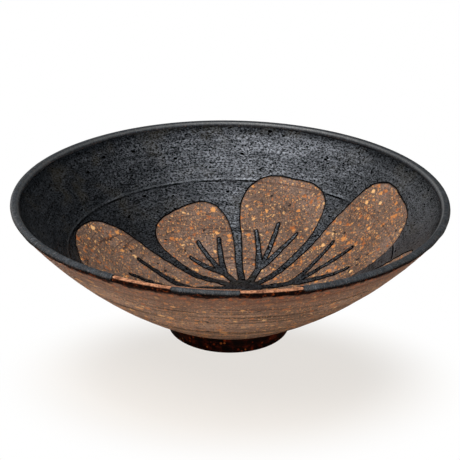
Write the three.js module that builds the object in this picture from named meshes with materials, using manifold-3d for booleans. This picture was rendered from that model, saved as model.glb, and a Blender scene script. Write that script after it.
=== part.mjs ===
import * as THREE from 'three';
import { mergeVertices } from 'three/addons/utils/BufferGeometryUtils.js';
import Module from 'manifold-3d';

// A wide footed stoneware bowl in millimetres, thrown on the wheel from a dark clay full of grog.
// Its axis is Z, the table is at Z = 0, and the side where the lip is left bare faces -Y.
// The body and its foot are fired clay. The black glaze is a thin coat brushed over the clay,
// which leaves one large blossom bare inside the bowl and two short stretches bare on the lip.

const wasm = await Module();
wasm.setup();

// Driving sizes of the bowl, over the glaze
const rimRadius = 150;
const bowlHeight = 101;
const wallBelly = 7.3; // how far the outer wall bows out from a straight line, foot to lip
const wallThickness = 4.8; // square to the surface, halfway up
const wallTaper = 0.8; // how much thinner the wall gets to the lip, and thicker to the foot
const floorThickness = 6.8;
const floorFillet = 70; // radius where the floor turns up into the wall

// Driving sizes of the lip
const lipEdgeHeight = 3; // upright outer face of the lip
const lipOverhang = 0.8; // how far the lip stands out past the wall under it
const lipOuterRound = 1.2;
const lipInnerRound = 1;

// Driving sizes of the foot ring
const footRadius = 43; // at the table
const footHeight = 12;
const footFlare = 1.5; // how much wider the foot is where it meets the wall
const footWidth = 7.5; // across the ring at the table
const footInnerLean = 1.5; // how much the hollow narrows towards the floor
const footRound = 1.2; // rounded lower edges

// Driving sizes of the glaze
const glazeThickness = 0.6;
const rimBandInside = 2.5; // how far the lip's band of glaze runs down the inner wall
const bareStretchLength = 38; // bare clay along the lip
const bareStretchAngles = [-111, -80]; // degrees, the middle of each bare stretch

// Driving sizes of the blossom, seen from above
const heartRadius = 13; // black disc in the middle of the blossom
const heartPlace = [10, 20]; // its middle, off the bowl's axis
const petalAngles = [-116, -56, 4, 64, 124, 184]; // degrees, the way each petal points
const petalMargins = [-14, 16, 15, 26, 46, 34]; // from the petal's tip out to the lip's band
const petalGap = 5; // black line between two petals
const petalRounding = 4.5; // higher is a squarer petal
const petalTwist = 9; // degrees that a petal of full length swings round
const veinWidth = 5.4; // black lines in a petal, where each starts
const veinTipWidth = 2.8;
const veinStarts = [0.3, 0, 0.3]; // share of the petal's length where each vein leaves its middle
const veinReaches = [0.62, 0.68, 0.58]; // share of the petal's length where each vein ends
const veinSpreads = [-0.95, 0, 0.95]; // how steeply each vein leans aside, as a share of half a petal

// Clearances between pieces that touch
const footClearance = 0.3;
const glazeClearance = 0.3;

// Fineness of the facets
const turnSteps = 64;
const wallSteps = 8;
const filletSteps = 4;
const roundSteps = 3;
const petalSteps = 12;
const veinSteps = 4;
const mergeDistance = 1e-4; // vertices closer than this are one

const radians = THREE.MathUtils.degToRad;
const { lerp } = THREE.MathUtils;

// The lip of bare clay lies under the coat of glaze that gives the bowl its overall size
const coatHeight = glazeClearance + glazeThickness;
const lipRadius = rimRadius - coatHeight;
const lipLevel = bowlHeight - coatHeight;

const clayMaterial = new THREE.MeshStandardMaterial({ color: 0x7a5c48, roughness: 0.9 });
const footMaterial = new THREE.MeshStandardMaterial({ color: 0x2a120a, roughness: 0.85 });
const glazeMaterial = new THREE.MeshStandardMaterial({ color: 0x23272b, roughness: 0.5 });

// Where the outer wall starts on the foot and ends under the lip
const wallFoot = new THREE.Vector2(footRadius + footFlare, footHeight);
const lipFoot = new THREE.Vector2(lipRadius, lipLevel - lipEdgeHeight);
const wallTop = new THREE.Vector2(lipFoot.x - lipOverhang, lipFoot.y - lipOverhang);

// The outer wall is one arc. Its radius follows from the chord and the belly,
// and its centre lies on the chord's normal, on the side of the bowl's inside.
const chord = wallTop.clone().sub(wallFoot);
const halfChord = chord.length() / 2;
const outerRadius = (halfChord ** 2 + wallBelly ** 2) / (2 * wallBelly);
const inward = new THREE.Vector2(-chord.y, chord.x).normalize();
const chordMiddle = wallFoot.clone().add(wallTop).multiplyScalar(0.5);
const wallCentre = chordMiddle.addScaledVector(inward, outerRadius - wallBelly);

// The inner wall is an arc too. Its centre is moved along the chord towards the lip, which makes
// the wall thinner by the taper at the lip and thicker by it at the foot.
const innerRadius = outerRadius - wallThickness;
const taperShift = (wallTaper * outerRadius) / (2 * halfChord ** 2);
const innerCentre = wallCentre.clone().addScaledVector(chord, taperShift);

// Even shares from 0 to 1
function evenShares(steps) {
  return Array.from({ length: steps + 1 }, (_, i) => i / steps);
}

// Points of an arc in the profile plane, from one angle to another
function arcPoints(centre, radius, fromAngle, toAngle, steps) {
  return evenShares(steps).map((share) => {
    const angle = lerp(fromAngle, toAngle, share);
    return new THREE.Vector2(
      centre.x + radius * Math.cos(angle),
      centre.y + radius * Math.sin(angle),
    );
  });
}

// Angle of a point as seen from a centre
function angleFrom(centre, point) {
  return Math.atan2(point.y - centre.y, point.x - centre.x);
}

// The centre of a round that touches a level line and the inner wall's arc.
// The round's own radius is added to the arc's when it lies in the clay, and taken off when it
// lies in the hollow of the bowl.
function roundOnWall(levelOfCentre, distanceFromInnerCentre) {
  const drop = innerCentre.y - levelOfCentre;
  return new THREE.Vector2(
    innerCentre.x + Math.sqrt(distanceFromInnerCentre ** 2 - drop ** 2),
    levelOfCentre,
  );
}

const floorLevel = footHeight + floorThickness;
const filletCentre = roundOnWall(floorLevel + floorFillet, innerRadius - floorFillet);
const lipInnerCentre = roundOnWall(lipLevel - lipInnerRound, innerRadius + lipInnerRound);
const lipOuterCentre = new THREE.Vector2(lipRadius - lipOuterRound, lipLevel - lipOuterRound);
const wallFromAngle = angleFrom(innerCentre, filletCentre);
const wallToAngle = angleFrom(innerCentre, lipInnerCentre);

// The inside of the bowl from the axis out to a place on the wall, a given height off the clay.
// Floor, fillet and wall are moved square to themselves, so the coat is equally thick all over.
function insidePoints(height, toAngle) {
  const floor = new THREE.Vector2(0, floorLevel + height);
  const fillet = arcPoints(
    filletCentre, floorFillet - height, -Math.PI / 2, wallFromAngle, filletSteps,
  );
  const wall = arcPoints(innerCentre, innerRadius - height, wallFromAngle, toAngle, wallSteps);
  return [floor, ...fillet, ...wall.slice(1)];
}

// The lip from the inner wall over the top and down the outer face, a given height off the clay
function lipPoints(height) {
  const innerRound = arcPoints(
    lipInnerCentre, lipInnerRound + height, wallToAngle + Math.PI, Math.PI / 2, roundSteps,
  );
  const outerRound = arcPoints(
    lipOuterCentre, lipOuterRound + height, Math.PI / 2, 0, roundSteps,
  );
  return [...innerRound, ...outerRound];
}

// Turns a profile about the bowl's axis and stands that axis up on Z
function lathe(points) {
  return new THREE.LatheGeometry(points, turnSteps).rotateX(Math.PI / 2);
}

// Closed solid of a geometry, with the vertices shared that lie at the same place
function solidOf(geometry) {
  const bare = geometry.clone();
  bare.deleteAttribute('normal');
  bare.deleteAttribute('uv');
  const merged = mergeVertices(bare, mergeDistance);
  return new wasm.Manifold(new wasm.Mesh({
    numProp: 3,
    vertProperties: new Float32Array(merged.attributes.position.array),
    triVerts: new Uint32Array(merged.index.array),
  }));
}

function geometryOf(solid) {
  const mesh = solid.getMesh();
  const geometry = new THREE.BufferGeometry();
  geometry.setAttribute('position', new THREE.BufferAttribute(mesh.vertProperties, 3));
  geometry.setIndex(new THREE.BufferAttribute(mesh.triVerts, 1));
  geometry.computeVertexNormals();
  return geometry;
}

function namedMesh(name, geometry, material) {
  const mesh = new THREE.Mesh(geometry, material);
  mesh.name = name;
  return mesh;
}

// Upright prism over an outline in plan, tall enough to cut right through the bowl
function uprightPrism(outline) {
  const shape = new THREE.Shape(outline);
  return solidOf(new THREE.ExtrudeGeometry(shape, { depth: 2 * bowlHeight, bevelEnabled: false }));
}

// Thrown bowl: one turned body from the flat under the floor to the lip and back to the axis
function makeBowlWall() {
  const underside = new THREE.Vector2(0, footHeight);
  const outerWall = arcPoints(
    wallCentre, outerRadius,
    angleFrom(wallCentre, wallFoot), angleFrom(wallCentre, wallTop), wallSteps,
  );
  const lip = lipPoints(0).reverse();
  const inside = insidePoints(0, wallToAngle).reverse();
  return namedMesh(
    'bowl_wall',
    lathe([underside, ...outerWall, lipFoot, ...lip, ...inside.slice(1)]),
    clayMaterial,
  );
}

// Foot: a turned ring under the floor, with rounded lower edges and a flat to stand on
function makeFootRing() {
  const top = footHeight - footClearance;
  const outerRound = new THREE.Vector2(footRadius - footRound, footRound);
  const innerRound = new THREE.Vector2(footRadius - footWidth + footRound, footRound);
  const profile = [
    ...arcPoints(innerRound, footRound, -Math.PI, -Math.PI / 2, roundSteps),
    ...arcPoints(outerRound, footRound, -Math.PI / 2, 0, roundSteps),
    new THREE.Vector2(footRadius + footFlare, top),
    new THREE.Vector2(footRadius - footWidth - footInnerLean, top),
  ];
  return namedMesh('foot_ring', lathe([...profile, profile[0]]), footMaterial);
}

// Half the angle between neighbouring petals, and how fast a petal's wedge widens
const halfPitch = Math.PI / petalAngles.length;
const wedgeSlope = Math.tan(halfPitch);

// One petal in plan. A distance from the heart and an offset across the petal give a point,
// and the swing grows with the distance, alike for all petals, so the lines between them run even.
function makePetal(angle, tipRadius) {
  const heart = new THREE.Vector2(...heartPlace);
  const along = new THREE.Vector2(Math.cos(angle), Math.sin(angle));
  const lean = heart.dot(along);
  const length = Math.sqrt(lean ** 2 - heart.lengthSq() + tipRadius ** 2) - lean;
  const origin = new THREE.Vector2();
  const point = (distance, offset) => {
    const swing = angle + radians(petalTwist) * (distance / rimRadius) ** 2;
    return new THREE.Vector2(distance, offset).rotateAround(origin, swing).add(heart);
  };
  const halfWidth = (distance) => {
    const wedgeHalf = distance * wedgeSlope - petalGap / 2 / Math.cos(halfPitch);
    return wedgeHalf * Math.sqrt(1 - (distance / length) ** petalRounding);
  };
  return { length, point, halfWidth };
}

// Black line in a petal, tapering to a pointed tip. It starts on the petal's middle, inside the
// heart at the nearest, and runs straight out or leans aside.
function makeVein(petal, startShare, reach, spread) {
  const start = Math.max(petal.length * startShare, heartRadius / 2);
  const end = petal.length * reach;
  const middle = (distance) => spread * (distance - start) * wedgeSlope;
  const side = (sign) => evenShares(veinSteps).map((share) => {
    const distance = lerp(start, end, share);
    const halfWidth = lerp(veinWidth, veinTipWidth, share) / 2;
    return petal.point(distance, middle(distance) + sign * halfWidth);
  });
  const tip = petal.point(end + veinTipWidth, middle(end));
  return uprightPrism([...side(-1), tip, ...side(1).reverse()]);
}

// Opening for one petal, from the heart's edge to the tip, less its veins.
// Its points crowd towards the tip, where the outline turns.
function makePetalOpening(petal) {
  const side = (sign) => evenShares(petalSteps).map((share) => {
    const distance = lerp(heartRadius, petal.length, Math.sin((Math.PI / 2) * share));
    return petal.point(distance, sign * petal.halfWidth(distance));
  });
  const whole = uprightPrism([...side(-1), ...side(1).slice(0, -1).reverse()]);
  return veinReaches.reduce((opening, reach, i) => {
    const vein = makeVein(petal, veinStarts[i], reach, veinSpreads[i]);
    return opening.subtract(vein);
  }, whole);
}

// Glaze inside the bowl: a coat of even thickness with the petals left out
function makeGlazeLining() {
  const bandEnd = (rimBandInside + glazeClearance) / innerRadius;
  const toAngle = wallToAngle - bandEnd;
  const under = insidePoints(glazeClearance, toAngle);
  const over = insidePoints(coatHeight, toAngle).reverse();
  const edgeRadius = over[0].x;
  const wholeCoat = solidOf(lathe([...under, ...over]));
  const coat = petalAngles.reduce((rest, angle, i) => {
    const petal = makePetal(radians(angle), edgeRadius - petalMargins[i]);
    return rest.subtract(makePetalOpening(petal));
  }, wholeCoat);
  return namedMesh('glaze_lining', geometryOf(coat), glazeMaterial);
}

// Upright wedge around the axis between two angles, reaching well past the lip
function wedge(fromAngle, toAngle) {
  const axis = new THREE.Vector2();
  return uprightPrism([axis, ...arcPoints(axis, 2 * rimRadius, fromAngle, toAngle, roundSteps)]);
}

// Glaze on the lip: a band over the top that stops at the bare stretches, so it is in two lengths
function makeRimGlazes() {
  const bandEnd = rimBandInside / innerRadius;
  const side = (height) => [
    ...arcPoints(innerCentre, innerRadius - height, wallToAngle - bandEnd, wallToAngle, 1),
    ...lipPoints(height).slice(1),
    new THREE.Vector2(lipRadius + height, lipFoot.y),
  ];
  const under = side(glazeClearance);
  const over = side(coatHeight).reverse();
  const band = solidOf(lathe([...under, ...over, under[0]]));
  const halfStretch = bareStretchLength / 2 / rimRadius;
  const [left, right] = bareStretchAngles.map(radians);
  const frontPart = wedge(left + halfStretch, right - halfStretch);
  const allFront = wedge(left - halfStretch, right + halfStretch);
  return [
    namedMesh('rim_glaze_back', geometryOf(band.subtract(allFront)), glazeMaterial),
    namedMesh('rim_glaze_front', geometryOf(band.intersect(frontPart)), glazeMaterial),
  ];
}

const bowl = new THREE.Group();
bowl.add(makeBowlWall(), makeFootRing(), makeGlazeLining(), ...makeRimGlazes());

export default bowl;
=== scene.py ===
import bpy
import numpy as np
from mathutils import Matrix, Vector


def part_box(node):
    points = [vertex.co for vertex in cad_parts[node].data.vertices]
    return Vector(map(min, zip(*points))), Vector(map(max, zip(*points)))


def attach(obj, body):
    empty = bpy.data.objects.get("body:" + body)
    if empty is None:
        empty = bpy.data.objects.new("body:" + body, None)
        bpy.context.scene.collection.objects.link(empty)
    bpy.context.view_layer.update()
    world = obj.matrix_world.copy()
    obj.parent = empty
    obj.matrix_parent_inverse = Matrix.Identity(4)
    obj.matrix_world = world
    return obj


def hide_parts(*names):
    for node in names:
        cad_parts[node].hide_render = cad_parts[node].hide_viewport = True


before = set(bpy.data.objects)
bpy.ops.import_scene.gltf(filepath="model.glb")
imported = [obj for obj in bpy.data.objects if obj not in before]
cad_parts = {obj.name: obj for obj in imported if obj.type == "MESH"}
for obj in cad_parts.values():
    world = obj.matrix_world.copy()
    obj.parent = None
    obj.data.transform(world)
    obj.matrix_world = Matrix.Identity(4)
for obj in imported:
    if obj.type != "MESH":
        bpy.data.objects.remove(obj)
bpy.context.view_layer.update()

# Thrown body: the wide wall, the floor and the lip are one piece of coarse dark stoneware full of grog.
# It is thrown on the wheel, so shallow rings climb its inside, and trimmed outside with a tool that drags
# the grog into fine turning lines. It is fired bare. Under the lip its colour is darkened, partly as burnt
# clay and partly as painted shade of the overhanging lip.

MM = 0.001  # the bowl's lengths are in millimetres, and this turns them into metres
body_low, body_high = (np.array(corner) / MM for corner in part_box("bowl_wall"))
lip_radius, lip_level, foot_height = body_high[0], body_high[2], body_low[2]

wall_belly = 7.3  # how far the outer wall bows out from a straight line, foot to lip
wall_thickness = 4.8  # halfway up
wall_taper = 0.8  # how much thinner the wall gets to the lip, and thicker to the foot
wall_foot_radius = 44.5
floor_thickness = 6.8
floor_fillet = 70.0
lip_edge_height = 3.0
lip_overhang = 0.8
lip_outer_round = 1.2
lip_inner_round = 1.0
lip_steps = 5  # in each of the lip's two rounds
lip_oval = 0.0012  # share of the radius by which the lip is wider one way and narrower the other
lip_tilt, lip_wave = 0.22, 0.18  # how far the lip rises and falls, two and three times round
clay_rise = 0.3  # the clay meets the glaze, where the solids keep a clearance


def turns(count):
    """Angles of a number of even steps round the bowl."""
    return np.arange(count) * 2 * np.pi / count


def arc(centre, radius, start, end, steps):
    """Points of an arc: the centre plus the radius times (cos a, sin a), with a running evenly from start
    to end."""
    a = np.linspace(start, end, steps + 1)
    return centre + radius * np.column_stack([np.cos(a), np.sin(a)])


def angle_from(centre, point):
    """Angle of a point as seen from a centre."""
    return np.arctan2(point[1] - centre[1], point[0] - centre[0])


# The outer wall is one arc through the top of the foot and the place under the lip
wall_foot = np.array([wall_foot_radius, foot_height])
lip_foot = np.array([lip_radius, lip_level - lip_edge_height])
wall_top = lip_foot - lip_overhang
chord = wall_top - wall_foot
half_chord = np.hypot(*chord) / 2
outer_radius = (half_chord ** 2 + wall_belly ** 2) / (2 * wall_belly)
inward = np.array([-chord[1], chord[0]]) / (2 * half_chord)
wall_centre = (wall_foot + wall_top) / 2 + inward * (outer_radius - wall_belly)

# The inner wall's arc has its centre a little further along the chord, so the wall tapers to the lip
inner_radius = outer_radius - wall_thickness
inner_centre = wall_centre + chord * wall_taper * outer_radius / (2 * half_chord ** 2)
floor_level = foot_height + floor_thickness


def round_on_wall(level, distance):
    """Centre of a round at a level, a given distance from the inner wall's centre."""
    drop = inner_centre[1] - level
    return np.array([inner_centre[0] + np.sqrt(distance ** 2 - drop ** 2), level])


fillet_centre = round_on_wall(floor_level + floor_fillet, inner_radius - floor_fillet)
lip_inner_centre = round_on_wall(lip_level - lip_inner_round, inner_radius + lip_inner_round)
lip_outer_centre = np.array([lip_radius - lip_outer_round, lip_level - lip_outer_round])
wall_from = angle_from(inner_centre, fillet_centre)
wall_to = angle_from(inner_centre, lip_inner_centre)


def inside_profile(height, wall_end, wall_steps, fillet_steps, floor_steps):
    """The inside from a place on the wall down the wall's arc, round the fillet and along the floor to the
    axis, a given height off the clay."""
    wall = arc(inner_centre, inner_radius - height, wall_end, wall_from, wall_steps)
    fillet = arc(fillet_centre, floor_fillet - height, wall_from, -np.pi / 2, fillet_steps)
    floor = np.linspace(fillet[-1], [0, floor_level + height], floor_steps + 1)
    return np.concatenate([wall, fillet[1:], floor[1:]])


def lip_profile(height):
    """The lip from its outer face over the two rounds to the inner wall, a given height off the clay."""
    outer = arc(lip_outer_centre, lip_outer_round + height, 0, np.pi / 2, lip_steps)
    inner = arc(lip_inner_centre, lip_inner_round + height, np.pi / 2, wall_to + np.pi, lip_steps)
    return np.concatenate([outer, inner])


def along_profile(profile):
    """Length along a profile from its first point to each point."""
    return np.concatenate([[0], np.cumsum(np.hypot(*np.diff(profile, axis=0).T))])[:, None]


def profile_normals(profile):
    """Unit normals of a profile walked with the clay on its left: the tangent turned a quarter right."""
    tangent = np.gradient(profile, axis=0)
    normal = np.column_stack([tangent[:, 1], -tangent[:, 0]])
    return normal / np.hypot(*normal.T)[:, None]


def drift(turn, along=0.0, *, seed, most_waves, length=1.0):
    """Smooth uneven drift round the bowl, the same after a full turn: a sum of twelve cosines of a whole
    number of waves round and of the way along the profile, with set phases. Its spread is about 1."""
    dice = np.random.default_rng(seed)
    total = np.zeros(np.broadcast(turn, along).shape)
    for _ in range(12):
        waves, lean, phase = dice.integers(1, most_waves + 1), dice.normal(), dice.uniform(0, 2 * np.pi)
        total += np.cos(waves * turn + 2 * np.pi * lean * along / length + phase)
    return total / np.sqrt(6)


def rise(way, over):
    """Even rise along a way from 0 at its start to 1 at a length: way / over, kept between the two."""
    return np.clip(way / over, 0, 1)


def groove(off, width, depth):
    """How deep a round groove is at a way off its middle: depth * exp(-(off / width) ** 2)."""
    return depth * np.exp(-((off / width) ** 2))


def carry_round(out, level, turn):
    """Carries places round Z: (out cos t, out sin t, level)."""
    return np.stack(np.broadcast_arrays(out * np.cos(turn), out * np.sin(turn), level), axis=-1)


def turned_grid(profile, lift, turn):
    """Turns a profile round the axis: each point goes out along the profile's normal by its own lift and is
    then carried round Z. As on a thrown bowl the lip is a little oval, r (1 + a s cos 2t), and not quite
    level, z + s (b cos 2t + c cos 3t), with s = (level / the lip's level) ** 2 and phases of its own."""
    out = profile[:, None, :] + profile_normals(profile)[:, None, :] * lift[..., None]
    share = rise(profile[:, 1:], lip_level) ** 2
    radius = out[..., 0] * (1 + lip_oval * share * np.cos(2 * turn + 0.6))
    swing = lip_tilt * np.cos(2 * turn - 1.1) + lip_wave * np.cos(3 * turn + 0.4)
    return carry_round(radius, out[..., 1] + share * swing, turn)


def numbers_of(grid):
    """The number of each point of a grid, counted row after row."""
    return np.arange(grid.shape[0] * grid.shape[1]).reshape(grid.shape[:2])


def triangles_of(index):
    """Two triangles for each cell of a grid that closes on itself round the bowl, outward where the rows
    follow the profile. Cells that end in one point, at the axis, keep one triangle."""
    a, d = index[:-1], index[1:]
    b, c = np.roll(a, -1, axis=1), np.roll(d, -1, axis=1)
    found = np.concatenate([np.stack(t, -1).reshape(-1, 3) for t in ((a, b, c), (a, c, d))])
    same = (found[:, 0] == found[:, 1]) | (found[:, 1] == found[:, 2]) | (found[:, 2] == found[:, 0])
    return found[~same]


def add_object(name, data):
    """Puts an object in the scene: a mesh, a lamp or a camera."""
    made = bpy.data.objects.new(name, data)
    bpy.context.collection.objects.link(made)
    return made


def add_piece(name, points, triangles, fields, material, node):
    """Makes a smooth piece from points in millimetres and triangles, with a value or a vector at each point
    for every field, and puts it in the frame in place of a node."""
    mesh = bpy.data.meshes.new(name)
    mesh.from_pydata((points * MM).tolist(), [], triangles.tolist())
    mesh.shade_smooth()
    for title, values in fields.items():
        kind, key = ("FLOAT", "value") if values.ndim == 1 else ("FLOAT_VECTOR", "vector")
        attribute = mesh.attributes.new(title, kind, "POINT")
        attribute.data.foreach_set(key, values.astype(np.float32).ravel())
    mesh.materials.append(material)
    piece = add_object(name, mesh)
    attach(piece, "root")
    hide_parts(node)
    return piece


def linear(colour):
    """An sRGB hex colour as linear red, green, blue and full alpha."""
    srgb = np.array([int(colour[i:i + 2], 16) / 255 for i in (1, 3, 5)])
    return (*np.where(srgb <= 0.04045, srgb / 12.92, ((srgb + 0.055) / 1.055) ** 2.4), 1.0)


def add(tree, kind, inputs=None, out=None, **settings):
    """Adds a shader node, sets it, and fills its inputs, by name or number, with values, hex colours or
    other nodes' outputs. Returns the named output, or else the first live one."""
    node = tree.nodes.new("ShaderNode" + kind)
    for key, value in settings.items():
        setattr(node, key, value)
    for key, value in (inputs or {}).items():
        live = [socket for socket in node.inputs if socket.enabled]
        socket = live[key] if isinstance(key, int) else next(s for s in live if s.name == key)
        if isinstance(value, bpy.types.NodeSocket):
            tree.links.new(value, socket)
        else:
            socket.default_value = linear(value) if isinstance(value, str) else value
    if out:
        return node.outputs[out]
    return next((socket for socket in node.outputs if socket.enabled), None)


def new_material(name):
    """Starts a node material. Returns it, its tree, and Object coordinates in millimetres."""
    material = bpy.data.materials.new(name)
    material.use_nodes = True
    tree = material.node_tree
    tree.nodes.clear()
    place = add(tree, "TexCoord", out="Object")
    return material, tree, add(tree, "VectorMath", {0: place, "Scale": 1 / MM}, operation="SCALE")


def finish_material(tree, colour, roughness, gloss, relief, depth, **others):
    """Closes a material: colour, roughness, gloss as a specular level, and a bump go into one shader. A
    relief of 0 to 1 stands for a depth in millimetres."""
    bump = add(tree, "Bump", {"Height": relief, "Distance": depth * MM})
    inputs = {"Base Color": colour, "Roughness": roughness, "Specular IOR Level": gloss, "Normal": bump}
    add(tree, "OutputMaterial", {"Surface": add(tree, "BsdfPrincipled", {**inputs, **others})})


def field(tree, name, out="Fac"):
    """A field of the mesh: a value, or with out="Vector" a vector."""
    return add(tree, "Attribute", out=out, attribute_name=name)


def noise(tree, place, size, detail=2.0, roughness=0.55):
    """Noise from 0 to 1 whose lumps are about one size, in the units of its place."""
    settings = {"Vector": place, "Scale": 1 / size, "Detail": detail, "Roughness": roughness}
    return add(tree, "TexNoise", settings)


def between(tree, value, low, high):
    """0 at low, 1 at high and a smooth rise from one to the other. Low may lie above high."""
    return add(tree, "MapRange", {"Value": value, "From Min": low, "From Max": high},
               interpolation_type="SMOOTHSTEP")


def slope(tree, value, low, high, start=0.0, end=1.0):
    """Even rise or fall from low to high while the value goes from start to end, and level beyond."""
    return add(tree, "MapRange", {"Value": value, "From Min": start, "From Max": end,
                                  "To Min": low, "To Max": high})


def compute(tree, operation, *values):
    """One step of arithmetic on values."""
    return add(tree, "Math", dict(enumerate(values)), operation=operation)


def times(tree, *values):
    """The product of values."""
    result, *rest = values
    for value in rest:
        result = compute(tree, "MULTIPLY", result, value)
    return result


def weighted_sum(tree, *parts):
    """The sum of values, each times its own weight."""
    result = 0.0
    for value, weight in parts:
        result = compute(tree, "MULTIPLY_ADD", value, weight, result)
    return result


def band(tree, value, low, full_from, full_to, high):
    """1 from full_from to full_to, with a smooth fall to 0 at low and at high."""
    return times(tree, between(tree, value, low, full_from), between(tree, value, high, full_to))


def blend(tree, share, a, b, blend_type="MIX"):
    """Mixes two colours."""
    return add(tree, "Mix", {0: share, 1: a, 2: b}, data_type="RGBA", blend_type=blend_type)


def ramp(tree, value, *stops):
    """A colour for each value from 0 to 1, through stops of a place and a colour."""
    colour = add(tree, "ValToRGB", {0: value})
    elements = colour.node.color_ramp.elements
    while len(elements) < len(stops):
        elements.new(1)
    for element, (place, shade) in zip(elements, stops):
        element.position, element.color = place, linear(shade)
    return colour


def grains(tree, place, spacing, chance, largest):
    """Grog of one size: a cell pattern with one grain in some of its cells. Each cell's own chance number
    says if it has a grain and how large it is. Returns how far inside a grain a point is, from 0 to 1, and
    the cell's own colour number."""
    cells = add(tree, "TexVoronoi", {"Vector": place, "Scale": 1 / spacing}).node
    number = add(tree, "SeparateColor", {0: cells.outputs["Color"]}).node
    size = slope(tree, number.outputs[0], 0.0, largest / spacing, start=1 - chance, end=1 - chance / 3)
    inside = compute(tree, "SUBTRACT", size, cells.outputs["Distance"])
    return between(tree, inside, 0.0, 0.2 * largest / spacing), number.outputs[1]


# Bare grogged stoneware, fired dark and unglazed: dry and matt, brown with many golden and rusty grains of
# fired clay that stand a little proud, finer lines where it was turned, and dark pores. Grains that follow
# the ragged place, which fine noise pushes about, have rough outlines.
clay, tree, place = new_material("bare_grogged_stoneware")
warp = noise(tree, place, 1.6, detail=4, roughness=0.75)
shift = add(tree, "VectorMath", {0: warp.node.outputs["Color"], 1: (0.5, 0.5, 0.5)}, operation="SUBTRACT")
ragged = add(tree, "VectorMath", {0: shift, 1: (5.5, 5.5, 5.5), 2: place}, operation="MULTIPLY_ADD")
spun = field(tree, "spun", out="Vector")
inner, edge, to_ring, below_lip = (field(tree, name) for name in ("inner", "edge", "to_ring", "below_lip"))
outer = compute(tree, "SUBTRACT", 1.0, inner)

wide = noise(tree, place, 34, detail=3)
dust = noise(tree, place, 0.9, detail=3, roughness=0.7)
crumbs = noise(tree, place, 2.3, detail=3, roughness=0.7)
inside_brown = ramp(tree, wide, (0.3, "#4b392e"), (0.5, "#58463b"), (0.7, "#645248"))
outside_brown = ramp(tree, wide, (0.3, "#584234"), (0.5, "#654e40"), (0.7, "#725b4c"))
brown = blend(tree, inner, outside_brown, inside_brown)
# In an overlay #bcbcbc changes nothing, darker greys darken and lighter ones lighten
mottle = ramp(tree, dust, (0.32, "#707070"), (0.5, "#bcbcbc"), (0.68, "#f8f8f8"))
brown = blend(tree, 0.9, brown, mottle, "OVERLAY")
lumps = ramp(tree, crumbs, (0.34, "#6a6a6a"), (0.48, "#bcbcbc"), (0.66, "#e4e4e4"))
brown = blend(tree, 0.7, brown, lumps, "OVERLAY")

# Turning lines, stretched round the bowl: about 2 mm and 8 mm apart outside, faint inside
fine_lines = noise(tree, spun, 1.0, detail=3, roughness=0.65)
wide_lines = noise(tree, spun, 4.2, detail=2)
line_mix = weighted_sum(tree, (fine_lines, 0.6), (wide_lines, 0.4))
line_share = slope(tree, inner, 1.0, 0.10)
dark_line = times(tree, between(tree, line_mix, 0.50, 0.40), line_share)
brown = blend(tree, dark_line, brown, "#33200f")
pale_line = times(tree, between(tree, line_mix, 0.55, 0.66), line_share)
brown = blend(tree, times(tree, pale_line, 0.35), brown, "#906b50")
# Long thin scratches run where one more noise passes its middle value, but only in some places
off_middle = compute(tree, "SUBTRACT", noise(tree, spun, 8.0, detail=1), 0.5)
scratch = between(tree, compute(tree, "ABSOLUTE", off_middle), 0.010, 0.003)
scratch = times(tree, scratch, between(tree, noise(tree, place, 45, detail=1), 0.5, 0.56))
brown = blend(tree, times(tree, scratch, 0.75), brown, "#2c1a12")

# Grains of five sizes, the two smallest like sand, and more that the trimming tool dragged sideways
# outside. Dark pores lie between them
dragged = add(tree, "VectorMath", {0: spun, 1: (14, 14, 1.2)}, operation="MULTIPLY")
grain_share = slope(tree, inner, 0.65, 0.9)
golden = ((0.0, "#874720"), (0.4, "#ad6a34"), (0.75, "#c2864a"), (1.0, "#d4a872"))
grog = 0.0
for grain_place, spacing, chance, largest, strength in (
    (place, 1.2, 0.60, 0.50, 0.40),
    (place, 1.7, 0.55, 0.80, 0.60),
    (ragged, 2.4, 0.48, 0.95, 0.85),
    (ragged, 4.8, 0.58, 1.75, 1.0),
    (ragged, 12.0, 0.55, 2.5, 1.0),
    (dragged, 3.4, 0.50, 1.1, outer),
):
    grain, number = grains(tree, grain_place, spacing, chance, largest)
    share = times(tree, grain, strength, grain_share)
    brown = blend(tree, share, brown, ramp(tree, number, *golden))
    grog = compute(tree, "MAXIMUM", grog, share)
pores, _ = grains(tree, ragged, spacing=6.5, chance=0.50, largest=1.2)
brown = blend(tree, pores, brown, "#140b07")

# The cut round the petals and along the veins gets a thin dark line of painted shade, and the one ring
# that was scratched round the inside crosses the petals as a faint brown line of painted shade in its groove
cut = times(tree, between(tree, edge, 0.75, 0.25), inner)
brown = blend(tree, times(tree, cut, 0.8), brown, "#1f140e")
ring = times(tree, between(tree, compute(tree, "ABSOLUTE", to_ring), 0.9, 0.3), inner)
brown = blend(tree, times(tree, ring, 0.5), brown, "#3a2419")

# The wall darkens towards the lip with painted shade under the overhang, and has rusty flashes. The bare top
# of the lip is salmon. Its outer face and a thin uneven line under it are nearly black, partly burnt clay
# and partly painted shadow of the overhang.
waver = slope(tree, noise(tree, place, 9, detail=5), -5.5, 5.5)
down = compute(tree, "ADD", below_lip, waver)
# Painted shade: the outer wall is coloured darker towards the lip, where the overhang shades it
painted_shade_under_lip = times(tree, between(tree, down, 32.0, 5.0), between(tree, inner, 0.5, 0.0))
brown = blend(tree, times(tree, painted_shade_under_lip, 0.62), brown, "#492a1c")
fleck = between(tree, noise(tree, ragged, 3.2, detail=3), 0.57, 0.60)
flash = times(tree, fleck, band(tree, below_lip, -1.0, 2.0, 4.0, 12.0))
brown = blend(tree, times(tree, flash, 0.65), brown, "#944816")
on_top = times(tree, between(tree, below_lip, -2.5, -3.3), between(tree, inner, 0.7, 0.3))
salmon = ramp(tree, crumbs, (0.39, "#553320"), (0.48, "#86593f"), (0.64, "#ae7b5a"))
brown = blend(tree, times(tree, on_top, 0.9), brown, salmon)
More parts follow.
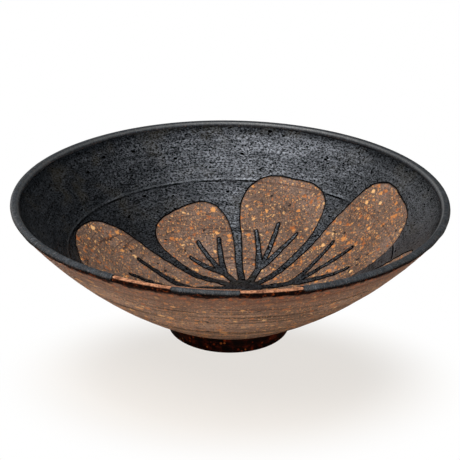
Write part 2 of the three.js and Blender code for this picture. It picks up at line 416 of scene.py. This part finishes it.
# Partly burnt clay, partly painted shadow: the lip's outer face and the line under the overhang are coloured
# nearly black
burnt_and_painted_shadow = compute(tree, "MAXIMUM", between(tree, down, 2.8, 0.6), between(tree, below_lip, 0.8, 0.0))
burnt_and_painted_shadow = times(tree, burnt_and_painted_shadow, between(tree, below_lip, -3.2, -2.4))
burnt_and_painted_shadow_brown = ramp(tree, crumbs, (0.44, "#040100"), (0.56, "#160602"), (0.68, "#5e280e"))
brown = blend(tree, burnt_and_painted_shadow, brown, burnt_and_painted_shadow_brown)

relief = weighted_sum(tree, (crumbs, 0.5), (fine_lines, line_share), (dust, 0.25), (grog, 0.15),
                      (pores, -1.0), (cut, -0.5))
rough = slope(tree, dust, 0.70, 0.95)
finish_material(tree, brown, rough, gloss=slope(tree, burnt_and_painted_shadow, 0.25, 0.03), relief=relief, depth=0.5)

# The blossom is drawn on the inside before glazing: six petals round a heart a little off the middle, each
# with three veins, cut into the clay with a point
rim_radius = 150.0  # of the glazed lip
heart_radius = 13.0
heart_place = np.array([10.0, 20.0])
petal_angles = np.radians([-116, -56, 4, 64, 124, 184])
petal_margins = (-14, 16, 15, 26, 46, 34)  # from each petal's tip out to the lip's band of glaze
petal_gap = 5.0
petal_rounding = 4.5
petal_twist = np.radians(9)  # how far a petal has swung round at the lip
outline_points = 70
vein_width, vein_tip_width = 5.4, 2.8
vein_starts = (0.30, 0.0, 0.30)  # the outer veins leave the middle one at this share of the length
vein_reaches = (0.62, 0.68, 0.58)
vein_spreads = (-0.95, 0.0, 0.95)
fine_sway, wide_sway = 0.16, 0.5  # of the hand that draws
rim_band_inside = 2.5  # how far the lip's band of glaze comes down the inside
solid_gap, solid_coat = 0.3, 0.9  # the solids' clearance below that band, and their coat with its clearance
lining_edge_angle = wall_to - (rim_band_inside + solid_gap) / inner_radius
lining_edge_radius = inner_centre[0] + (inner_radius - solid_coat) * np.cos(lining_edge_angle)
half_pitch = np.pi / len(petal_angles)
wedge_slope = np.tan(half_pitch)


def petal_half_width(out, length):
    """Half a petal's width at a way out from the heart: a wedge less half the black gap, times a rounding
    that closes it at the tip."""
    wedge = out * wedge_slope - petal_gap / 2 / np.cos(half_pitch)
    return wedge * np.sqrt(np.clip(1 - (out / length) ** petal_rounding, 0, 1))


def from_line(out, across, line):
    """Distance from places to a line of points: to the nearest place on the nearest of its segments."""
    step = np.diff(line, axis=0)
    to = np.stack([out, across], axis=-1)[..., None, :] - line[:-1]
    share = np.clip((to * step).sum(-1) / (step ** 2).sum(-1), 0, 1)
    return np.hypot(*np.moveaxis(to - share[..., None] * step, -1, 0)).min(-1)


def swayed(x, y):
    """Places in plan swayed a little, as a hand-drawn line is: by a product of sines a few millimetres
    long, and by longer sines with sines in them."""
    fine_x = np.sin(x / 1.9 + 1) * np.sin(y / 2.3)
    fine_y = np.sin(y / 2.1) * np.sin(x / 2.6 + 1)
    wide_x = np.sin(y / 7.1 + 2 * np.sin(x / 16))
    wide_y = np.sin(x / 6.3 + 2 * np.sin(y / 13 + 1))
    return x + fine_sway * fine_x + wide_sway * wide_x, y + fine_sway * fine_y + wide_sway * wide_y


def bare_depth(x, y):
    """How far inside the bare petals a place in plan is, in millimetres, and below zero where it is glazed.
    The place first sways, and is then turned back by the petal's swing. The swing depends on the way out
    along the petal, so it is found in four rounds."""
    x, y = swayed(x, y)
    x, y = x - heart_place[0], y - heart_place[1]
    reach = np.hypot(x, y)
    deepest = np.full(x.shape, -np.inf)
    for angle, margin in zip(petal_angles, petal_margins):
        lean = heart_place @ (np.cos(angle), np.sin(angle))
        tip_radius = lining_edge_radius - margin
        length = np.sqrt(lean ** 2 - heart_place @ heart_place + tip_radius ** 2) - lean
        out = reach
        for _ in range(4):
            swing = angle + petal_twist * (out / rim_radius) ** 2
            out, across = x * np.cos(swing) + y * np.sin(swing), y * np.cos(swing) - x * np.sin(swing)
        first_angle = np.arcsin(heart_radius / 2 / length)
        way = length * np.sin(np.linspace(first_angle, np.pi / 2, outline_points))
        outline = np.column_stack([way, petal_half_width(way, length)])
        inside = (np.abs(across) < petal_half_width(out, length)) & (out > 0) & (out < length)
        depth = np.where(inside, 1, -1) * from_line(out, np.abs(across), outline)
        for start, share, spread in zip(vein_starts, vein_reaches, vein_spreads):
            first = max(length * start, heart_radius / 2)
            last = length * share
            aside = spread * (last - first) * wedge_slope
            vein = np.array([[first, 0.0], [last, aside]])
            run = rise(out - first, last - first)
            half = (vein_width + (vein_tip_width - vein_width) * run) / 2
            depth = np.minimum(depth, from_line(out, across, vein) - half)
        deepest = np.maximum(deepest, depth)
    return np.minimum(deepest, reach - heart_radius)


# One ring was scratched round the inside with a point. It sways by a cosine once round
ring_way, ring_sway = 126.0, 1.2  # its way along the inside from the axis
ring_width, ring_depth = 0.8, 0.25


def from_axis(profile):
    """Length along an inside profile from its last point, on the axis, back out to each point."""
    return along_profile(profile[::-1])[::-1]


def off_ring(profile, turn):
    """Way from the scratched ring to each point."""
    return from_axis(profile) - ring_way - ring_sway * np.cos(turn)


# Rings that the fingers leave inside
finger_pitch = 8.2
finger_height, finger_unevenness = 0.10, 0.05
finger_start = 25.0  # they rise over this length from the axis
finger_end, finger_fade = 165.0, 12.0  # where they have faded out under the lip, and over what length


def throwing_rings(profile, turn):
    """The relief inside: a spiral of cosine ridges from the fingers, whose course and height drift, less
    the groove of the scratched ring."""
    out = from_axis(profile)
    wander = 0.5 * drift(turn, out, seed=3, most_waves=4, length=60)
    ridge = np.cos(2 * np.pi * out / finger_pitch + turn + wander)
    height = finger_height + finger_unevenness * drift(turn, out, seed=5, most_waves=5, length=40)
    fade = rise(out, finger_start) * rise(finger_end - out, finger_fade)
    return ridge * height * fade - groove(off_ring(profile, turn), ring_width, ring_depth)


# Marks of the trimming tool outside
tool_pitch, tool_height = 6.4, 0.10
tool_unevenness = 0.07
tool_cuts = (  # way up the wall, width and depth of each
    (7.5, 0.9, 0.35),
    (12.0, 0.8, 0.30),
    (19.5, 0.9, 0.22),
    (34.0, 0.8, 0.15),
)
cut_sway = 0.5
tool_start, tool_end = 4.0, 5.0  # the marks fade out over these lengths, at the foot and at the lip


def tool_marks(up_wall, turn):
    """The relief outside: a spiral of cosine ridges, an uneven hand, and a few deeper cuts that sway."""
    wander = drift(turn, up_wall, seed=8, most_waves=3, length=50)
    marks = tool_height * np.cos(2 * np.pi * up_wall / tool_pitch + 2 * turn + wander)
    marks = marks + tool_unevenness * drift(turn, up_wall, seed=9, most_waves=3, length=5)
    for way, width, depth in tool_cuts:
        path = way + cut_sway * drift(turn, seed=int(way), most_waves=3)
        marks = marks - groove(up_wall - path, width, depth)
    return marks * rise(up_wall, tool_start) * rise(up_wall[-1] - up_wall, tool_end)


# Spiral of the trimming tool under the floor, inside the foot
spiral_pitch, spiral_depth = 2.6, 0.15
spiral_start, spiral_end = 3.0, 36.0  # it deepens over the first length, and ends at the foot


def trimming_spiral(out, turn):
    """The relief under the floor: cosine ridges whose tops lie at the flat."""
    ridge = 1 + np.cos(2 * np.pi * out / spiral_pitch - turn)
    return -spiral_depth * ridge * rise(out, spiral_start) * (out < spiral_end)


# Profile from the axis under the floor, out along the flat, up the outside, over the lip and down inside
wall_start, wall_stop = angle_from(wall_centre, wall_foot), angle_from(wall_centre, wall_top)
lip = lip_profile(clay_rise)
underside = np.linspace([0, foot_height], wall_foot, 22)
outside = arc(wall_centre, outer_radius, wall_start, wall_stop, 84)
ledge = np.linspace(wall_top, lip_foot, 3)
lip_face = np.linspace(lip_foot, lip[0], 4)
inside = inside_profile(clay_rise, wall_to, 66, 22, 14)
body_profile = np.concatenate([underside[:-1], outside, ledge[1:], lip_face[1:], lip[1:], inside[1:]])
on_under = len(underside) - 1
on_outside = on_under + len(outside)
on_inside = len(body_profile) - len(inside)

turn = turns(448)
along = along_profile(body_profile)
lift = np.zeros((len(body_profile), len(turn)))
lift[:on_under] = trimming_spiral(along[:on_under], turn)
lift[on_under:on_outside] = tool_marks(along[on_under:on_outside] - along[on_under], turn)
lift[on_inside:] = throwing_rings(inside, turn)
grid = turned_grid(body_profile, lift, turn)

# The first and the last row lie on the axis, so each is one point
index = numbers_of(grid) - len(turn) + 1
index[0], index[-1] = 0, index[-1, 0]


def at_points(values):
    """A field on the body's grid, or one value a row, as one value for each of its points."""
    full = np.broadcast_to(values, (*grid.shape[:2], *np.shape(values)[2:]))
    return np.concatenate([full[0, :1], full[1:-1].reshape(-1, *full.shape[2:]), full[-1, :1]])


def only_inside(values):
    """A field that counts inside only. Elsewhere it says that nothing is near, which 20 mm does."""
    full = np.full(grid.shape[:2], 20.0)
    full[on_inside:] = values
    return at_points(full)


# Fields that the clay's pattern follows: inside or outside, a place that turns slowly round the bowl and
# fast along the profile, how far inside the petals' edge, the way off the scratched ring, and the way down
# from the lip's foot
rows_inside = np.arange(len(body_profile))[:, None] - on_inside
body_fields = {
    "inner": at_points(rise(rows_inside + 2, 2).astype(float)),
    "spun": at_points(carry_round(body_profile[:, :1] / 55, along / 1.9, turn)),
    "edge": only_inside(bare_depth(grid[on_inside:, :, 0], grid[on_inside:, :, 1])),
    "to_ring": only_inside(off_ring(inside, turn)),
    "below_lip": at_points(along[on_outside + 1] - along),
}
add_piece("bowl_body", at_points(grid), triangles_of(index), body_fields,
          clay, "bowl_wall")


# Foot: a low turned ring of the same clay, joined under the floor and trimmed to stand flat. Its colour is
# a nearly black red-brown with a slight shine.

foot_radius = 43.0
foot_width = 7.5
foot_flare = 1.5
foot_inner_lean = 1.5
foot_round = 1.2
foot_sink = 0.4  # how far it reaches into the floor, so that no gap shows
foot_mark_pitch, foot_mark_height = 2.4, 0.06  # the tool's ridges, from the foot's face to the floor
foot_mark_start = 0.5  # level from which they rise, so that the foot stands flat
foot_unevenness = 0.06

# Nearly black red-brown on the foot, with worn rusty lines and a few grains of grog
nearly_black_foot, tree, place = new_material("nearly_black_foot_stoneware")
spun = field(tree, "spun", out="Vector")
cloud = noise(tree, place, 7, detail=4, roughness=0.6)
dust = noise(tree, place, 0.7, detail=3, roughness=0.7)
lines = noise(tree, spun, 1.0, detail=3)
dark = ramp(tree, cloud, (0.36, "#030000"), (0.52, "#0b0200"), (0.68, "#451407"))
dark = blend(tree, slope(tree, lines, 0.0, 0.4, start=0.5, end=0.75), dark, "#4a1a0c")
rust, rust_number = grains(tree, place, spacing=2.4, chance=0.6, largest=1.0)
rusty = ramp(tree, rust_number, (0.0, "#5e1c08"), (0.7, "#8e3a14"), (1.0, "#b8652e"))
dark = blend(tree, times(tree, rust, 0.55), dark, rusty)
relief = weighted_sum(tree, (dust, 0.5), (lines, 0.5))
finish_material(tree, dark, roughness=slope(tree, dust, 0.50, 0.75), gloss=0.05, relief=relief, depth=0.3)

# Profile from the floor down the inner face, under the flat and up the outer face
inner_top = [foot_radius - foot_width - foot_inner_lean, foot_height + foot_sink]
inner_bottom = [foot_radius - foot_width, foot_round]
outer_bottom = [foot_radius, foot_round]
outer_top = [foot_radius + foot_flare, foot_height]
foot_profile = np.concatenate([
    np.linspace(inner_top, inner_bottom, 12)[:-1],
    arc(np.add(inner_bottom, [foot_round, 0]), foot_round, -np.pi, -np.pi / 2, 5),
    arc(np.subtract(outer_bottom, [foot_round, 0]), foot_round, -np.pi / 2, 0, 5),
    np.linspace(outer_bottom, outer_top, 14)[1:],
    [np.add(outer_top, [-foot_sink, foot_sink])],
])
foot_along = along_profile(foot_profile)
foot_level = foot_profile[:, 1:]
foot_lift = foot_unevenness * drift(turn, foot_along, seed=41, most_waves=4, length=7)
foot_lift = foot_lift - foot_mark_height * np.cos(2 * np.pi * foot_along / foot_mark_pitch + turn)
foot_lift = foot_lift * rise(foot_level - foot_mark_start, 2) * rise(foot_height - foot_level, 2)
foot_grid = turned_grid(foot_profile, foot_lift, turn)
foot_index = numbers_of(foot_grid)
foot_index = np.concatenate([foot_index, foot_index[:1]])
foot_spun = carry_round(foot_profile[:, :1] / 20, foot_along / 1.2, turn)
add_piece("foot_ring_visual", foot_grid.reshape(-1, 3), triangles_of(foot_index),
          {"spun": foot_spun.reshape(-1, 3)}, nearly_black_foot, "foot_ring")


# Glaze lining: a satin black glaze brushed over the whole inside but for the blossom's petals, which were
# waxed and stay bare clay. It is about half a millimetre thick and ends in a clean edge at the cut line.

coat_thickness = 0.42
coat_sink = 0.12  # how far a coat's underside lies in the clay, so that no gap shows
least_depth = 0.03  # the grid's points keep this far off a coat's edge, so that no sliver is cut
lining_start = 2.0  # way down the inner wall from the lip to the first row
lining_edge, lining_waver = 0.4, 0.25  # way from that row to the coat's edge, and how much it wavers


def clip(triangles, wet):
    """Cuts triangles along the line where a field of their corners passes zero and keeps the part above.
    A cut point lies on an edge, at the share of it where the field is zero. Returns the two ends and the
    share of each cut point, the kept triangles, and the edges that the cut leaves open."""
    above = wet[triangles] > 0
    count = above.sum(axis=1)
    kept = []
    for wanted, odd in ((1, above), (2, ~above)):
        chosen = count == wanted
        first = odd[chosen].argmax(axis=1)
        kept.append(np.take_along_axis(triangles[chosen], (first[:, None] + np.arange(3)) % 3, axis=1))
    one, two = kept
    pairs = np.concatenate([one[:, [0, 1]], one[:, [0, 2]], two[:, [0, 1]], two[:, [0, 2]]])
    ends, number = np.unique(np.sort(pairs, axis=1), axis=0, return_inverse=True)
    share = wet[ends[:, 0]] / (wet[ends[:, 0]] - wet[ends[:, 1]])
    number = number.ravel() + len(wet)
    cuts = np.cumsum([len(one), len(one), len(two)])
    one_next, one_last, two_next, two_last = np.split(number, cuts)
    kept = np.concatenate([
        triangles[count == 3],
        np.column_stack([one[:, 0], one_next, one_last]),
        np.column_stack([two_next, two[:, 1], two[:, 2]]),
        np.column_stack([two_next, two[:, 2], two_last]),
    ])
    open_edges = np.column_stack([np.append(one_next, two_last), np.append(one_last, two_next)])
    return ends, share, kept, open_edges


def edge_keys(edges):
    """One number for each edge, the same whichever way it runs."""
    return np.sort(edges, axis=1) @ (1 << 24, 1)


def add_coat(name, grid, profile, turn, wet, thickness, fields, triangles, material, node):
    """A coat of glaze over part of a turned surface: the part where `wet` is above zero is kept, its top is
    raised along the normals, its underside is sunk a little into the clay, and a strip joins the two. The
    edges between the strip and the rest stay sharp."""
    flat = profile_normals(profile)[:, None, :]
    normals = carry_round(flat[..., 0], flat[..., 1], turn)
    wet = np.where(np.abs(wet) < least_depth, np.copysign(least_depth, wet), wet).ravel()
    ends, share, kept, open_edges = clip(triangles, wet)
    used, kept = np.unique(kept, return_inverse=True)
    kept, open_edges = kept.reshape(-1, 3), np.searchsorted(used, open_edges)

    def with_cuts(values):
        values = values.reshape(len(wet), -1)
        cut = values[ends[:, 0]] * (1 - share[:, None]) + values[ends[:, 1]] * share[:, None]
        return np.concatenate([values, cut])[used]

    base, normals = with_cuts(grid), with_cuts(normals)
    points = np.concatenate([base + normals * thickness, base - normals * coat_sink])
    p, q = open_edges.T
    below = len(used)
    strip = np.concatenate([np.column_stack([q, p, p + below]), np.column_stack([q, p + below, q + below])])
    faces = np.concatenate([kept, kept[:, ::-1] + below, strip])
    fields = {**fields, "wet": wet}
    fields = {title: np.tile(with_cuts(values), (2, 1)).squeeze() for title, values in fields.items()}
    piece = add_piece(name, points, faces, fields, material, node)
    edges = np.empty(2 * len(piece.data.edges), int)
    piece.data.edges.foreach_get("vertices", edges)
    crisp = edge_keys(np.concatenate([open_edges, open_edges + below]))
    sharp = np.isin(edge_keys(edges.reshape(-1, 2)), crisp)
    piece.data.attributes.new("sharp_edge", "BOOLEAN", "EDGE").data.foreach_set("value", sharp)


# Satin black glaze, brushed on and fired: a soft sheen broken up by the grog under it into fine bright and
# dark grains, with pinholes, faint brush rings, and olive in patches. Its grains are drawn out a little
# round the bowl, the way it was laid on.
glaze, tree, place = new_material("satin_black_glaze")
spun = field(tree, "spun", out="Vector")
wet, under_lip, to_ring = (field(tree, name) for name in ("wet", "under_lip", "to_ring"))
laid = add(tree, "VectorMath", {0: spun, 1: (20, 20, 1.2)}, operation="MULTIPLY")
patches = noise(tree, place, 13, detail=4)
salt = noise(tree, laid, 1.1, detail=4, roughness=0.7)
swell = noise(tree, laid, 2.6, detail=2)
brush = noise(tree, spun, 1.6, detail=3, roughness=0.6)
black = ramp(tree, salt, (0.38, "#010101"), (0.5, "#050709"), (0.64, "#15191d"))
olive = slope(tree, noise(tree, place, 22, detail=3), 0.0, 0.5, start=0.55, end=0.68)
black = blend(tree, olive, black, "#211e16")
pinholes, _ = grains(tree, laid, spacing=2.6, chance=0.45, largest=0.7)
deep_pits, _ = grains(tree, laid, spacing=7.0, chance=0.45, largest=1.3)
pits = compute(tree, "MAXIMUM", pinholes, deep_pits)
black = blend(tree, pits, black, "#010101")

# Painted shade darkens the glaze along the coat's edge and in the scratched ring. A lighter grey on the burr
# that the point threw up above the ring is a painted highlight, and the burr also gets more gloss.
patchy_ring_share = slope(tree, patches, 0.5, 1.0, start=0.40, end=0.55)
ring = times(tree, between(tree, compute(tree, "ABSOLUTE", to_ring), 1.1, 0.4), patchy_ring_share)
line = compute(tree, "MAXIMUM", between(tree, wet, 0.9, 0.35), ring)
black = blend(tree, times(tree, line, 0.85), black, "#050506")
burr_with_painted_highlight = times(tree, band(tree, to_ring, 0.8, 1.3, 1.9, 2.7), patchy_ring_share)
black = blend(tree, times(tree, burr_with_painted_highlight, 0.5), black, "#2c3032")

# The sheen lies on the raised grains and the brush's ridges. It leaves the hollows and pits black, and a
# strip under the lip, where the glaze was wiped thin
gloss = slope(tree, salt, 0.05, 1.0, start=0.43, end=0.57)
ridges = slope(tree, brush, 0.45, 1.0, start=0.35, end=0.60)
thin = slope(tree, under_lip, 0.12, 1.0, start=1.2, end=11.0)
patchy = slope(tree, patches, 0.72, 1.15, start=0.36, end=0.62)
gloss = weighted_sum(tree, (times(tree, gloss, ridges, thin), patchy), (burr_with_painted_highlight, 0.3))
gloss = times(tree, gloss, compute(tree, "SUBTRACT", 1.0, compute(tree, "MAXIMUM", pits, line)))
satin = slope(tree, noise(tree, place, 9, detail=3), 0.34, 0.48)
rough = weighted_sum(tree, (satin, 1.0), (pits, 0.3))
at_edge = between(tree, wet, 0.8, 0.0)
relief = weighted_sum(tree, (salt, 1.0), (brush, 0.35), (swell, 1.0), (pits, -0.9), (at_edge, -0.6))
finish_material(tree, black, rough, gloss, relief, depth=0.55, **{"Specular Tint": "#e3e8f2", "IOR": 1.8})

lining_profile = inside_profile(clay_rise, wall_to - lining_start / inner_radius, 62, 24, 16)
lining_grid = turned_grid(lining_profile, throwing_rings(lining_profile, turn), turn)
lining_along = along_profile(lining_profile)
lining_index = numbers_of(lining_grid)
lining_index[-1] = lining_index[-1, 0]
# The coat ends along the top in a line that wavers under the band of the lip
lining_top = lining_edge + lining_waver * drift(turn, seed=21, most_waves=9)
glazed = np.minimum(-bare_depth(lining_grid[..., 0], lining_grid[..., 1]), lining_along - lining_top)
lining_fields = {
    "spun": carry_round(lining_profile[:, :1] / 30, lining_along / 1.3, turn),
    "under_lip": np.broadcast_to(lining_along, glazed.shape),
    "to_ring": off_ring(lining_profile, turn),
}
add_coat("glaze_lining_visual", lining_grid, lining_profile, turn, glazed, coat_thickness, lining_fields,
         triangles_of(lining_index), glaze, "glaze_lining")


# Glaze on the lip: the same glaze wiped over the top of the lip with a brush, so it is thin and greyer and
# shows the strokes across it. It stops at two short stretches at the front where the clay was left bare.

rim_coat_thickness = 0.55
bare_stretch_length = 38.0
bare_stretch_angles = np.radians([-111, -80])
stretch_raggedness = 1.1
stretch_slant, slant_from = 0.3, 4.0  # the ends of the stretches slant by this share, from this way on
rim_lower_edge, rim_lower_waver = 1.1, 0.35  # way up the lip's face to the coat, and how much it wavers
rim_grid_end = 1.9  # how far the grid goes on past the band of glaze inside
rim_inner_edge, rim_inner_waver = 1.5, 0.2  # way from the grid's end back to the coat
worn_from = 4.9  # way over the lip

# Worn black glaze, wiped thin: grey with strokes and grit in it. It shines on a narrow crest just inside,
# where a lighter grey adds a painted highlight. Painted shade makes it black low on the outer face and dark
# along its edges and near its inner end. Places over the lip are told by the way up its outer face, over the
# top and down inside, in millimetres.
rim_glaze, tree, place = new_material("worn_black_glaze")
stroke = field(tree, "stroke", out="Vector")
wet, over_lip, worn = (field(tree, name) for name in ("wet", "over_lip", "worn"))
scratches = noise(tree, stroke, 0.9, detail=3, roughness=0.65)
cloud = noise(tree, place, 12, detail=2)
grit = noise(tree, place, 0.8, detail=3, roughness=0.7)
grey = ramp(tree, scratches, (0.34, "#1a1d20"), (0.52, "#282c30"), (0.70, "#40454a"))
grey = blend(tree, slope(tree, cloud, 0.0, 0.4, start=0.4, end=0.7), grey, "#2b2e2d")
speckle = ramp(tree, grit, (0.3, "#7c7c7c"), (0.5, "#bcbcbc"), (0.7, "#ececec"))
grey = blend(tree, 0.8, grey, speckle, "OVERLAY")
crest = band(tree, over_lip, 5.8, 6.7, 7.0, 8.0)
# Painted highlight: a lighter grey on the crest, whose gloss below gives a real sheen
grey = blend(tree, times(tree, crest, 0.5), grey, "#3f4141")
# Painted shade: the glaze is coloured nearly black low on the lip's outer face
face = between(tree, weighted_sum(tree, (over_lip, 1.0), (grit, 1.2)), 3.2, 2.2)
grey = blend(tree, times(tree, face, 0.95), grey, "#070708")
# Painted shade: dark along the coat's edges and near its inner end, where the lip's inner edge shades the
# wall
rim_edge_painted_shade = compute(tree, "MAXIMUM", between(tree, wet, 0.8, 0.1), between(tree, over_lip, 7.8, 8.8))
grey = blend(tree, times(tree, rim_edge_painted_shade, 0.7), grey, "#0a0a0b")
# On the front piece the glaze is worn through to the clay along the inner edge
worn = between(tree, weighted_sum(tree, (worn, 1.0), (grit, 0.8)), 0.4, 1.0)
worn_clay = ramp(tree, grit, (0.35, "#4f3324"), (0.5, "#7a5440"), (0.66, "#a0714f"))
grey = blend(tree, worn, grey, worn_clay)
dull = compute(tree, "MAXIMUM", worn, compute(tree, "MAXIMUM", face, rim_edge_painted_shade))
gritty = slope(tree, grit, 0.35, 1.35, start=0.36, end=0.62)
gloss = times(tree, slope(tree, crest, 0.12, 0.72), slope(tree, dull, 1.0, 0.1), gritty)
relief = weighted_sum(tree, (scratches, 0.4), (grit, 0.5))
finish_material(tree, grey, roughness=slope(tree, grit, 0.42, 0.62), gloss=gloss, relief=relief, depth=0.3)

rim_turn = turns(640)
rim_inner_end = wall_to - (rim_band_inside + rim_grid_end) / inner_radius
rim_profile = np.concatenate([
    np.linspace(lip_foot, lip[0], 7)[:-1],
    lip,
    arc(inner_centre, inner_radius - clay_rise, wall_to, rim_inner_end, 5)[1:],
])
rim_grid = turned_grid(rim_profile, np.zeros((len(rim_profile), len(rim_turn))), rim_turn)
rim_along = along_profile(rim_profile)
lower_end = rim_along - rim_lower_edge - rim_lower_waver * drift(rim_turn, seed=31, most_waves=40)
inner_end = rim_along[-1] - rim_inner_edge - rim_along
inner_end = inner_end + rim_inner_waver * drift(rim_turn, seed=33, most_waves=30)
to_middles = (rim_turn - bare_stretch_angles[:, None] + np.pi) % (2 * np.pi) - np.pi
off_stretch = np.abs(to_middles).min(axis=0) * rim_radius - bare_stretch_length / 2
ragged_end = off_stretch + stretch_raggedness * drift(0.0, rim_along, seed=35, most_waves=3, length=5)
ragged_end = ragged_end - stretch_slant * (rim_along - slant_from)
rim_wet = np.minimum(np.minimum(lower_end, inner_end), ragged_end)
towards = (rim_turn + np.pi) % (2 * np.pi) - np.pi
is_front = (towards > bare_stretch_angles[0]) & (towards < bare_stretch_angles[1])
rim_fields = {
    "stroke": carry_round(rim_radius, rim_along * 0.16, rim_turn),
    "over_lip": np.broadcast_to(rim_along, rim_wet.shape),
    "worn": rise(rim_along - worn_from, 1.0) * is_front,
}
for part, chosen in (("back", ~is_front), ("front", is_front)):
    add_coat(f"rim_glaze_{part}_visual", rim_grid, rim_profile, rim_turn, np.where(chosen, rim_wet, -1.0),
             rim_coat_thickness, rim_fields, triangles_of(numbers_of(rim_grid)), rim_glaze,
             f"rim_glaze_{part}")


# Floor, light and camera: a pale floor that keeps the bowl's soft shadow and has a painted shadow in front
# of it, a soft light overhead and a little to the front left, weaker ones from the front right and the back
# left, and the camera a metre away, a bit above the bowl.

floor_mesh = bpy.data.meshes.new("floor")
floor_mesh.from_pydata([(-6, -6, 0), (6, -6, 0), (6, 6, 0), (-6, 6, 0)], [], [(0, 1, 2, 3)])
floor = add_object("floor", floor_mesh)

# White paper, matt. The camera sees it glow evenly, nearly white, but for an oval in front of the bowl,
# where the glow is turned down and warmed as a painted shadow, and the bowl's real soft shadow shows
# through. The bowl itself is lit by a plain cream floor.
paper, tree, place = new_material("pale_paper")
from_painted_shadow = add(tree, "VectorMath", {0: place, 1: (5, -75, 0)}, operation="SUBTRACT")
oval = add(tree, "VectorMath", {0: from_painted_shadow, 1: (0.7, 1, 1)}, operation="MULTIPLY")
away = add(tree, "VectorMath", {0: oval}, out="Value", operation="LENGTH")
seen = add(tree, "LightPath", out="Is Camera Ray")
# The camera sees a darker diffuse than other rays, so the real shadow shows more under the painted one
lit = add(tree, "BsdfDiffuse", {"Color": blend(tree, seen, "#ece6dd", "#a39c94")})
# Painted shadow: the glow is warmer and weaker in the oval in front of the bowl
glow_colour_painted_warm_near_bowl = blend(tree, between(tree, away, 40, 120), "#fdf9f4", "#ffffff")
glow = add(tree, "Emission", {"Color": glow_colour_painted_warm_near_bowl})
glow_share_outside_painted_shadow = slope(tree, between(tree, away, 56, 112), 0.753, 1.0)
mix = add(tree, "MixShader", {0: times(tree, seen, glow_share_outside_painted_shadow), 1: lit, 2: glow})
add(tree, "OutputMaterial", {"Surface": mix})
floor_mesh.materials.append(paper)

# The room around is white to the camera, and lights the bowl only faintly
world = bpy.data.worlds.new("studio")
bpy.context.scene.world = world
world.use_nodes = True
tree = world.node_tree
tree.nodes.clear()
strength = slope(tree, add(tree, "LightPath", out="Is Camera Ray"), 0.08, 1.0)
sky = add(tree, "Background", {"Color": "#ffffff", "Strength": strength})
add(tree, "OutputWorld", {"Surface": sky})


def soft_light(name, size, place, target, power):
    """A square light of a size in metres, at a place, facing a target, with a power in watts."""
    lamp = bpy.data.lights.new(name, "AREA")
    lamp.shape, lamp.size, lamp.energy = "SQUARE", size, power
    light = add_object(name, lamp)
    light.location = place
    light.rotation_euler = (Vector(target) - Vector(place)).to_track_quat("-Z", "Y").to_euler()


soft_light("overhead", 0.7, (-0.34, -0.46, 1.10), (0, 0, 0.06), 26)
soft_light("front", 1.2, (0.8, -1.9, 0.6), (0, 0, 0.05), 20)
soft_light("back", 1.2, (-1.3, 1.6, 0.6), (0, 0, 0.05), 10)

# The camera looks down at the middle of the lip, then turns by three small angles
camera = add_object("camera", bpy.data.cameras.new("camera"))
bpy.context.scene.camera = camera
camera.data.sensor_width = 36
camera.data.lens = 113.88
distance, elevation = 1.0, np.radians(22.831)
pitch, yaw, roll = np.radians(1.418), np.radians(0.0057), np.radians(0.736)
rim_middle = Vector((0, 0, 0.101))
camera.location = rim_middle + distance * Vector((0, -np.cos(elevation), np.sin(elevation)))
down = elevation + pitch
forward = Vector((np.sin(yaw) * np.cos(down), np.cos(yaw) * np.cos(down), -np.sin(down)))
right = Vector((np.cos(yaw), -np.sin(yaw), 0))
up = right.cross(forward)
turned_right = right * np.cos(roll) + up * np.sin(roll)
turned_up = turned_right.cross(forward)
camera.rotation_euler = Matrix((turned_right, turned_up, -forward)).transposed().to_euler()

bpy.context.scene.view_settings.view_transform = "Standard"
